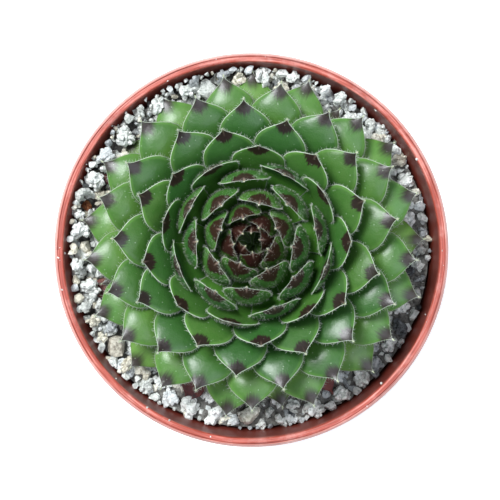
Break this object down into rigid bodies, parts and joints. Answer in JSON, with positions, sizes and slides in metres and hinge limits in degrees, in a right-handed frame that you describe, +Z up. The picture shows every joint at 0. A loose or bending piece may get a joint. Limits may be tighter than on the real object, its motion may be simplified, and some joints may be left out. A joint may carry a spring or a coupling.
{
  "type": "potted succulent",
  "caption": "Houseleek rosette of fleshy green leaves with dark maroon tips, in pale grit in a small round terracotta-coloured plastic nursery pot.",
  "frame": {"origin": "centre of the pot's foot, on the surface that the pot stands on", "axes": "+Z up along the pot's axis; +X and +Y are level, and the rosette's crown leans slightly towards +Y"},
  "size_m": [0.055, 0.055, 0.063],
  "materials": {
    "pot_plastic": "moulded, satin with dust",
    "compost": "dark fibrous peat",
    "grit": "rough porous granules",
    "stone_pale": "rough porous",
    "stone_beige": "rough porous",
    "stone_cream": "rough porous",
    "stone_orange": "rough porous",
    "heart_leaf": "fine velvety hairs, maroon tips",
    "leaf": "waxy, half gloss, pale fringed margins, maroon tips"
  },
  "bodies": {
    "root": {"pot": "pot_plastic", "soil": "compost", "grit_bed": "grit", "stone_pale": "stone_pale", "stone_beige": "stone_beige", "stone_cream": "stone_cream", "stone_orange": "stone_orange", "stem_and_heart": "heart_leaf", "leaf_48": "leaf", "leaf_49": "leaf", "leaf_50": "leaf", "leaf_51": "leaf", "leaf_52": "leaf", "leaf_53": "leaf", "leaf_54": "leaf", "leaf_55": "leaf", "leaf_56": "leaf", "leaf_57": "leaf", "leaf_58": "leaf", "leaf_59": "leaf", "leaf_60": "leaf", "leaf_61": "leaf", "leaf_62": "leaf", "leaf_63": "leaf", "leaf_64": "leaf", "leaf_65": "leaf", "leaf_66": "leaf", "leaf_67": "leaf", "leaf_68": "leaf", "leaf_69": "leaf", "leaf_70": "leaf", "leaf_71": "leaf", "leaf_72": "leaf", "leaf_73": "leaf", "leaf_74": "leaf", "leaf_75": "leaf", "leaf_76": "leaf", "leaf_77": "leaf", "leaf_78": "leaf", "leaf_79": "leaf", "leaf_80": "leaf", "leaf_81": "leaf", "leaf_82": "leaf", "leaf_83": "leaf", "leaf_84": "leaf", "leaf_85": "leaf", "leaf_86": "leaf", "leaf_87": "leaf", "leaf_88": "leaf", "leaf_89": "leaf", "leaf_90": "leaf", "leaf_91": "leaf", "leaf_92": "leaf", "leaf_93": "leaf", "leaf_94": "leaf", "leaf_95": "leaf", "leaf_96": "leaf", "leaf_97": "leaf", "leaf_98": "leaf", "leaf_99": "leaf"}
  },
  "joints": []
}
